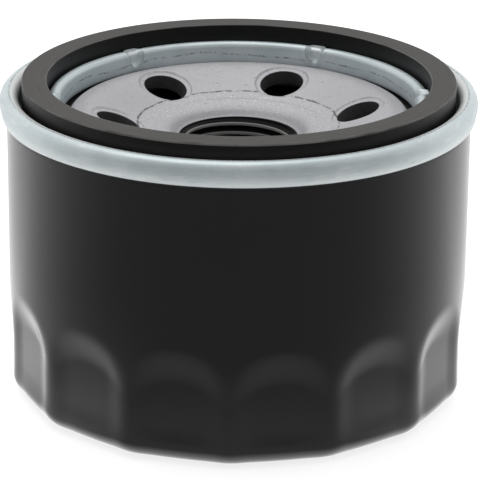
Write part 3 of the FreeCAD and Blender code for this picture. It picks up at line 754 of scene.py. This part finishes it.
def lid_move(r, z, t):
    """Six stakes pressed outwards through the turned-down lip, and a hand-made evenness."""
    gaps = [(t - math.radians(a) + math.pi) % TAU - math.pi for a in CRIMP_AT]
    arc = 29.4 * np.min(np.abs(gaps), 0)
    inside = smooth(r, 31.4, 30.4) * smooth(z, 46.3, 47.2)
    d = np.hypot(arc / 1.65, (z - 50.6) / 3.0)
    dent = smooth(d, 1.0, 0.62)
    lip = np.exp(-(((d - 1.06) / 0.18) ** 2)) * 0.06
    groove = np.exp(-((arc / 0.9) ** 2)) * smooth(z, 49.6, 47.2) * 0.16
    r = r + (0.75 * dent - 2.0 * lip + groove) * inside
    z = z - 0.22 * smooth(arc / 1.85, 1.0, 0.3) * smooth(r, 31.3, 30.7) * smooth(z, 49.6, 50.7)
    seam = smooth(r, 36.2, 37.0)
    r = r - 0.24 * smooth(r, 38.6, 38.95) * smooth(z, 49.7, 47.9)
    r = r + 0.020 * seam * np.sin(3 * t + 0.4) + 0.012 * seam * np.sin(11 * t + 1.0)
    z = z + 0.020 * seam * np.sin(2 * t + 1.3) + 0.012 * np.sin(7 * t) * seam
    return r, z, t


def build_lid():
    outer, hook, chuck = 38.80, 37.70, 36.36
    t = LID_T
    fold = (outer - hook) / 2
    fold_z = 47.32 + fold + t / 2
    crest = (outer - chuck) / 2
    floor = GROOVE_Z - t / 2
    wall, skirt = LIP_RO - t / 2, LIP_RI + t / 2
    u = (wall - skirt) / 2
    u_z = LIP_TOP - t / 2 - u
    b = 0.75
    loop = sheet_loop(
        (hook, 49.6),
        [
            ("L", (hook, fold_z)),
            ("A", (hook + fold, fold_z), 180),
            ("L", (outer, 49.88)),
            ("A", (outer - crest, 49.88), 180),
            ("L", (chuck, floor + b)),
            ("A", (chuck - b, floor + b), -90),
            ("L", (wall + b, floor)),
            ("A", (wall + b, floor + b), -90),
            ("L", (wall, u_z)),
            ("A", (wall - u, u_z), 180),
            ("L", (skirt, SKIRT_Z)),
        ],
        t,
        step=0.35,
        arc_deg=9.0,
    )
    return lathe("seam_lid", loop, 540, lid_move, 60)


piece(build_lid(), "lid_plate", "housing", "seaming_lid")

# ------------------------------------------------------------------------------------
# sealing ring
# ------------------------------------------------------------------------------------
g = rounded([(31.44, 46.68, 0.3), (35.5, 46.68, 0.3), (35.5, HEIGHT, 0.16), (31.44, HEIGHT, 0.14)][::-1], 0.4, 15)


def gasket_move(r, z, t):
    up = smooth(z, 47.5, 53.0)
    r = r + 0.03 * up * np.sin(2 * t + 0.3) + 0.015 * up * np.sin(5 * t + 1.0)
    z = np.where(z > 52, z - 0.010 * (1 + np.sin(3 * t + 0.5)) + 0.22 * smooth(np.cos(t), 0.1, 1.0), z)
    return r, z, t


piece(lathe("sealing_ring", g, 360, gasket_move, 35), "gasket_rubber", "housing", "gasket")

# ------------------------------------------------------------------------------------
# base plate
# ------------------------------------------------------------------------------------
PLATE_T, PLATE_R, FLANGE_Z = 2.6, 37.0, 45.85
CROWN_R, CROWN_Z, SLOPE = 24.8, 48.2, 0.354
HOLES, HOLE_PCR, HOLE_R, HOLE_Z = 6, 19.9, 3.68, 46.93
RECESS_R, RECESS_D = 4.6, 0.28
MINOR, MAJOR, PITCH = 8.66, 9.525, 1.5875
MOUTH_R, MOUTH_Z, COLLAR_R, COLLAR_Z = 9.56, 43.12, 12.3, 34.3
HOLE_T0 = math.radians(180 - 21.3)  # a hole's angle from the front


def top_line():
    """The plate's upper face from the thread's mouth to the rim, as dense (r, z)."""
    pts = [
        (9.56, 43.12, 0), (9.74, 43.40, 0.22), (10.28, 43.52, 0.35), (11.25, 44.32, 1.6), (12.9, 44.72, 4.0),
        (16.66, HOLE_Z - SLOPE * (HOLE_PCR - 16.66) - 0.02, 0), (23.2, 48.05, 2.0), (24.8, 48.34, 2.6),
        (27.35, 47.72, 1.6), (28.1, 46.65, 1.0), (28.45, FLANGE_Z, 0.5), (PLATE_R, FLANGE_Z, 0),
    ]
    line = rounded(pts + [(PLATE_R, 20, 0), (9.56, 20, 0)], 0.25, 8)
    k = np.argmax((line[:, 1] < 30))
    line = line[:k]
    return line[line[:, 1] > FLANGE_Z - 5]


TOP = top_line()
TOP = TOP[np.argsort(TOP[:, 0], kind="stable")]


def plate_z(r):
    return np.interp(r, TOP[:, 0], TOP[:, 1])


def crease(r, t):
    """The fine coined step round the dish, uneven and broken in places."""
    wob = 16.66 + 0.07 * np.sin(2 * t + 0.5) + 0.04 * np.sin(5 * t + 2.0)
    amount = 0.55 + 0.45 * np.sin(1.0 * t + 2.5) * np.sin(4 * t + 0.7)
    return -0.085 * amount * np.exp(-(((r - wob) / 0.16) ** 2)) - 0.05 * smooth(r, wob + 0.1, wob - 0.25) * 0.6


def hole_centres():
    out = []
    for k in range(HOLES):
        t = HOLE_T0 + k * TAU / HOLES
        out.append((HOLE_PCR * math.sin(t), -HOLE_PCR * math.cos(t), t))
    return out


def recess(rho, side):
    """Depth of the pressed recess round a hole, on the upper or lower face."""
    if side > 0:
        edge = -0.07 * smooth(rho, HOLE_R + 0.16, HOLE_R)
        return edge - RECESS_D * smooth(rho, RECESS_R + 0.06, RECESS_R - 0.34) + 0.04 * np.exp(-(((rho - 4.85) / 0.25) ** 2))
    return -RECESS_D * smooth(rho, RECESS_R + 0.7, RECESS_R)


def build_plate():
    per = 64                       # segments across one sixth
    n = per * HOLES
    r_a, r_b = 14.4, 25.4          # the band that holds the holes
    n_side = 22
    side_r = np.linspace(r_a, r_b, n_side + 1)
    verts, index = [], {}

    def add(v):
        verts.append(v)
        return len(verts) - 1

    faces = []
    th0 = HOLE_T0 - math.pi / HOLES
    ths = [th0 + TAU * i / n for i in range(n)]

    def point(r, t, z):
        return (r * math.sin(t), -r * math.cos(t), z)

    def height(r, t, rho, side):
        drop = PLATE_T / math.cos(math.atan(SLOPE))
        z = float(plate_z(r)) + (float(crease(r, t)) if side > 0 else 0.0)
        if side < 0:
            z -= drop + (PLATE_T - drop) * float(smooth(np.array(r), 23.0, 25.4))
        return z + float(recess(np.array(rho), side))

    holes = hole_centres()
    tilt = math.atan(SLOPE)

    def ring(r, z_of):
        return [add(point(r, t, z_of(r, t))) for t in ths]

    bands = {}
    for side in (1, -1):
        inner_ring = [add(point(r_a, t, height(r_a, t, 99, side))) for t in ths]
        outer_ring = [add(point(r_b, t, height(r_b, t, 99, side))) for t in ths]
        spokes = []
        for k in range(HOLES):
            t = th0 + TAU * k / HOLES
            spokes.append([inner_ring[k * per]] + [add(point(r, t, height(r, t, 99, side))) for r in side_r[1:-1]] + [outer_ring[k * per]])
        walls = []
        for k, (hx, hy, ht) in enumerate(holes):
            nxt = (k + 1) % HOLES
            loop = []
            for i in range(per):
                loop.append(inner_ring[(k * per + i) % n])
            loop += spokes[nxt][:-1]
            for i in range(per):
                loop.append(outer_ring[(k * per + per - i) % n])
            loop += spokes[k][::-1][:-1]
            centre = np.array([hx, hy])
            pts = np.array([verts[i][:2] for i in loop]) - centre
            # local axes: u outwards, v sideways. The hole stands square to the dish, so it is foreshortened along u.
            u = np.array([math.sin(ht), -math.cos(ht)])
            w = np.array([math.cos(ht), math.sin(ht)])
            squash_u = math.cos(tilt)
            lu, lw = pts @ u / squash_u, pts @ w
            ang = np.arctan2(lw, lu)
            far = np.hypot(lu, lw)
            levels = [HOLE_R, 3.76, 3.86, 4.0, 4.12, 4.22, 4.32, 4.42, 4.52, 4.64, 4.80, 5.05, 5.3]
            loops = []
            shift = 0.0 if side > 0 else PLATE_T * math.sin(tilt)
            for rho in levels:
                ids = []
                for a in ang:
                    q = centre + u * (rho * math.cos(a) * squash_u + shift) + w * rho * math.sin(a)
                    r, t = math.hypot(*q), math.atan2(q[0], -q[1])
                    ids.append(add((q[0], q[1], height(r, t, rho, side))))
                loops.append(ids)
            for f in (0.3, 0.62):
                ids = []
                for i, a in enumerate(ang):
                    base = centre + u * (5.3 * math.cos(a) * squash_u + shift) + w * 5.3 * math.sin(a)
                    q = base * (1 - f) + np.array(verts[loop[i]][:2]) * f
                    r, t = math.hypot(*q), math.atan2(q[0], -q[1])
                    d = q - centre
                    rho = math.hypot((d @ u) / squash_u, d @ w)
                    ids.append(add((q[0], q[1], height(r, t, max(rho, 5.3), side))))
                loops.append(ids)
            loops.append(loop)
            m = len(loop)
            for a, b in zip(loops[:-1], loops[1:]):
                for i in range(m):
                    j = (i + 1) % m
                    q = (a[i], a[j], b[j], b[i])
                    faces.append(q if side > 0 else q[::-1])
            walls.append(loops[0])
        bands[side] = (inner_ring, outer_ring, walls)

    # hole walls, slightly rounded at the upper edge
    for k in range(HOLES):
        a, b = bands[1][2][k], bands[-1][2][k]
        m = len(a)
        prev = a
        for f in (0.08, 0.35, 0.7):
            ids = []
            for i in range(m):
                p, q = np.array(verts[a[i]]), np.array(verts[b[i]])
                ids.append(add(tuple(p * (1 - f) + q * f)))
            for i in range(m):
                j = (i + 1) % m
                faces.append((prev[j], prev[i], ids[i], ids[j]))
            prev = ids
        for i in range(m):
            j = (i + 1) % m
            faces.append((prev[j], prev[i], b[i], b[j]))

    def join(a, b, flip):
        for i in range(n):
            j = (i + 1) % n
            q = (a[i], a[j], b[j], b[i])
            faces.append(q[::-1] if flip else q)

    # outer part of the upper face, over the rim and back along the lower face
    line = [(r, z) for r, z in TOP if r > r_b + 0.05 and r < PLATE_R - 0.3]
    rim = [(PLATE_R - 0.25, FLANGE_Z), (PLATE_R - 0.06, FLANGE_Z - 0.08), (PLATE_R, FLANGE_Z - 0.3), (PLATE_R, 44.5),
           (PLATE_R, FLANGE_Z - PLATE_T + 0.3), (PLATE_R - 0.06, FLANGE_Z - PLATE_T + 0.08), (PLATE_R - 0.3, FLANGE_Z - PLATE_T)]
    under = [(33.0, FLANGE_Z - PLATE_T), (30.0, FLANGE_Z - PLATE_T), (28.9, FLANGE_Z - PLATE_T + 0.01), (28.2, 43.40), (27.6, 43.80), (27.0, 44.35), (26.4, 44.95), (25.9, 45.32)]
    prev = bands[1][1]
    for r, z in line + rim + under:
        cur = [add(point(r, t, z + (float(crease(r, t)) if z > 46 else 0))) for t in ths]
        join(prev, cur, True)
        prev = cur
    join(prev, bands[-1][1], True)

    # inner part: down into the mouth, the thread, the collar's end and its outside
    line = [(r, z) for r, z in TOP if MOUTH_R + 0.02 < r < r_a - 0.05][::-1]
    prev = bands[1][0]
    for r, z in line:
        cur = [add(point(r, t, z)) for t in ths]
        join(prev, cur, False)
        prev = cur
    z_top, z_end = MOUTH_Z, COLLAR_Z
    rows = 170
    root = PITCH / 16
    slope = math.tan(math.radians(60))
    depth = MAJOR - MINOR
    for i in range(rows + 1):
        z = z_top + (z_end - z_top) * i / rows
        cur = []
        for t in ths:
            ph = ((42.42 - z) / PITCH + (t - math.pi) / TAU) % 1.0     # 0 at a crest
            d = abs(ph - 0.5) * PITCH
            cut = min(depth, max(0.0, depth - (d - root) * slope)) if d > root else depth
            # the groove runs out in a short lead at each end of the bore
            cut *= 1.0
            r = MINOR + cut
            lead = 0.5 - 0.5 * math.cos(t)                  # the thread starts at the front
            chamfer = MOUTH_R - 0.02 - (z_top - z) * (1.45 + 9.0 * smooth(np.array(lead), 0.25, 0.6))
            r = max(r, chamfer)
            low = MINOR + 0.45 - (z - z_end) * 1.3
            r = max(r, min(low, MAJOR))
            cur.append(add(point(r, t, z)))
        join(prev, cur, False)
        prev = cur
    outside = [(COLLAR_R - 0.5, COLLAR_Z), (COLLAR_R - 0.12, COLLAR_Z + 0.14), (COLLAR_R, COLLAR_Z + 0.5), (COLLAR_R, 37.0), (COLLAR_R, 40.0),
               (COLLAR_R, 41.2), (12.42, 41.6), (12.75, 41.95), (13.3, 42.2), (13.9, 42.42)]
    for r, z in outside:
        cur = [add(point(r, t, z)) for t in ths]
        join(prev, cur, False)
        prev = cur
    join(prev, bands[-1][0], False)
    return link("base_plate_dish", verts, faces, 38)


piece(build_plate(), "plate_steel", "housing", "base_plate")

# ------------------------------------------------------------------------------------
# anti-drain diaphragm: hub stays, lip moves; the web is baked in place on no body
# ------------------------------------------------------------------------------------
hub = rounded([(12.36, 37.38, 0.1), (12.36, 41.2, 0.15), (13.6, 41.2, 0.5), (14.1, 40.6, 0.3), (14.1, 38.9, 0.5), (15.0, 38.48, 0.4), (17.3, 38.48, 0.3), (17.3, 37.7, 0.1), (16.8, 37.38, 0.2)], 0.3, 14)
piece(lathe("drain_hub", hub, 240), "valve_rubber", "housing", "drain_valve_hub")
web = rounded([(16.7, 37.66, 0.1), (16.7, 38.46, 0.1), (18.2, 38.62, 1.5), (21.0, 39.9, 2.0), (24.5, 41.6, 2.0), (27.6, 42.93, 0.1), (27.6, 42.16, 0.1), (24.5, 40.8, 2.0), (21.0, 39.1, 2.0), (18.4, 37.78, 1.5)], 0.3, 10)


def ribs(r, z, t):
    """Low moulded rings across the web."""
    wave = 0.10 * np.exp(-(((r - 19.6) / 0.35) ** 2)) + 0.10 * np.exp(-(((r - 22.4) / 0.35) ** 2))
    return r, z + wave, t


ob = lathe("drain_web", web, 240, ribs)
dress(ob, "valve_rubber")
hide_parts("drain_valve_web")
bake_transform(ob)
lip = rounded([(27.42, 42.1, 0.1), (27.42, 42.95, 0.1), (29.3, 42.95, 0.2), (29.75, 43.2, 0.15), (30.85, 43.2, 0.15), (31.3, 42.95, 0.2), (32.2, 42.85, 0.2), (32.2, 42.35, 0.25), (31.9, 42.1, 0.2)], 0.3, 14)
piece(lathe("drain_lip_ring", lip, 240), "valve_rubber", "drain_lip", "drain_valve_lip")



def spring_piece(node, name):
    src = frame["nodes"][node]
    ob = bpy.data.objects.new(name, src.data.copy())
    ob.matrix_world = src.matrix_world.copy()
    scene.collection.objects.link(ob)
    dress(ob, "spring_steel")
    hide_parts(node)
    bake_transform(ob)


spring_piece("support_spring", "support_coil")
spring_piece("bypass_spring", "bypass_coil")

TOP_LIGHT = 0.74

# ------------------------------------------------------------------------------------
# stage: pale floor, soft studio light, camera
# ------------------------------------------------------------------------------------
def make_stage():
    n, rings = 96, [0.0005, 0.05, 0.12, 0.3, 0.8, 2.0, 5.0]
    verts = [(0, 0, 0)]
    faces = []
    for i, r in enumerate(rings):
        for j in range(n):
            a = TAU * j / n
            verts.append((r * math.cos(a), r * math.sin(a), 0))
    for j in range(n):
        faces.append((0, 1 + j, 1 + (j + 1) % n))
    for i in range(len(rings) - 1):
        for j in range(n):
            k = (j + 1) % n
            a, b = 1 + i * n, 1 + (i + 1) * n
            faces.append((a + j, b + j, b + k, a + k))
    me = bpy.data.meshes.new("floor")
    me.from_pydata(verts, [], faces)
    ob = bpy.data.objects.new("floor", me)
    ob.location.z = -0.00002
    scene.collection.objects.link(ob)
    m = Mat("floor")
    # the camera sees plain white paper; the object sees a bright sheet close by and a dim room in front
    lp = m.t.nodes.new("ShaderNodeLightPath")
    x, y, _ = m.xyz()
    r = m.radius()
    around = m.math("DIVIDE", y, m.math("MAXIMUM", r, 0.001))
    far = m.room(around)
    near = m.step(r, 0.0405, 0.0366)
    aside = m.step(m.math("DIVIDE", m.math("ABSOLUTE", x), m.math("MAXIMUM", r, 0.001)), 0.48, 0.84)
    far = m.math("ADD", far, m.math("MULTIPLY", aside, m.math("ADD", m.step(r, 0.105, 0.052, 0.0, 0.17), m.step(r, 0.064, 0.046, 0.0, 0.20))))
    far = m.math("ADD", far, m.step(r, 0.080, 0.044, 0.0, 0.20))
    glow = m.lerp(lp.outputs["Is Diffuse Ray"], m.lerp(near, far, 1.5), 0.85)
    m.set(Base_Color=m.mix(lp.outputs["Is Camera Ray"], (0.06, 0.06, 0.06), (0.62, 0.62, 0.62)), Roughness=0.9, Specular_IOR_Level=0.0)
    m.p.inputs["Emission Color"].default_value = (1, 1, 1, 1)
    m.set(Emission_Strength=m.lerp(lp.outputs["Is Camera Ray"], glow, 0.76))
    ob.data.materials.append(m.m)


make_stage()

world = bpy.data.worlds.new("studio")
scene.world = world
world.use_nodes = True
w = Mat.__new__(Mat)
w.t = world.node_tree
w.t.nodes.clear()
w._xyz = None
w.c = w.t.nodes.new("ShaderNodeTexCoord").outputs["Generated"]
out = w.t.nodes.new("ShaderNodeOutputWorld")
bg = w.t.nodes.new("ShaderNodeBackground")
w.t.links.new(bg.outputs[0], out.inputs[0])
wx, wy, wz = w.xyz()
flat = w.math("MAXIMUM", w.math("SQRT", w.math("ADD", w.math("MULTIPLY", wx, wx), w.math("MULTIPLY", wy, wy))), 0.001)
side = w.room(w.math("DIVIDE", wy, flat))
lp = w.t.nodes.new("ShaderNodeLightPath")
above = w.step(wy, -0.75, 0.55, TOP_LIGHT * 0.50, TOP_LIGHT * 1.20)
light = w.lerp(w.step(wz, 0.10, 0.62), side, above)
w.t.links.new(w.lerp(lp.outputs["Is Camera Ray"], light, 1.05), bg.inputs["Strength"])
bg.inputs["Color"].default_value = (1, 1, 1, 1)


def softbox(name, loc, aim, size, power, colour=(1, 1, 1)):
    li = bpy.data.lights.new(name, "AREA")
    li.shape = "RECTANGLE"
    li.size, li.size_y = size
    li.energy = power
    li.color = colour
    ob = bpy.data.objects.new(name, li)
    ob.location = loc
    d = Vector(aim) - Vector(loc)
    ob.rotation_euler = d.to_track_quat("-Z", "Y").to_euler()
    scene.collection.objects.link(ob)
    return ob


softbox("top_box", (-0.10, 0.12, 0.70), (0, 0, 0.04), (0.55, 0.45), 0.9)

cam = bpy.data.cameras.new("camera")
cam.lens, cam.sensor_width = 218.594, 36.0
cam.clip_start, cam.clip_end = 0.01, 20.0
co = bpy.data.objects.new("camera", cam)
el = 0.351161
D, ox, zt = 0.485953, 0.000384, (53.2 - 28.279) * MM
co.matrix_world = (
    Matrix.Translation((ox, -D * math.cos(el), zt + D * math.sin(el)))
    @ Matrix.Rotation(math.pi / 2 - el, 4, "X")
    @ Matrix.Rotation(math.radians(0.525), 4, "Z")
)
scene.collection.objects.link(co)
scene.camera = co
scene.view_settings.view_transform = "Standard"
scene.view_settings.look = "None"
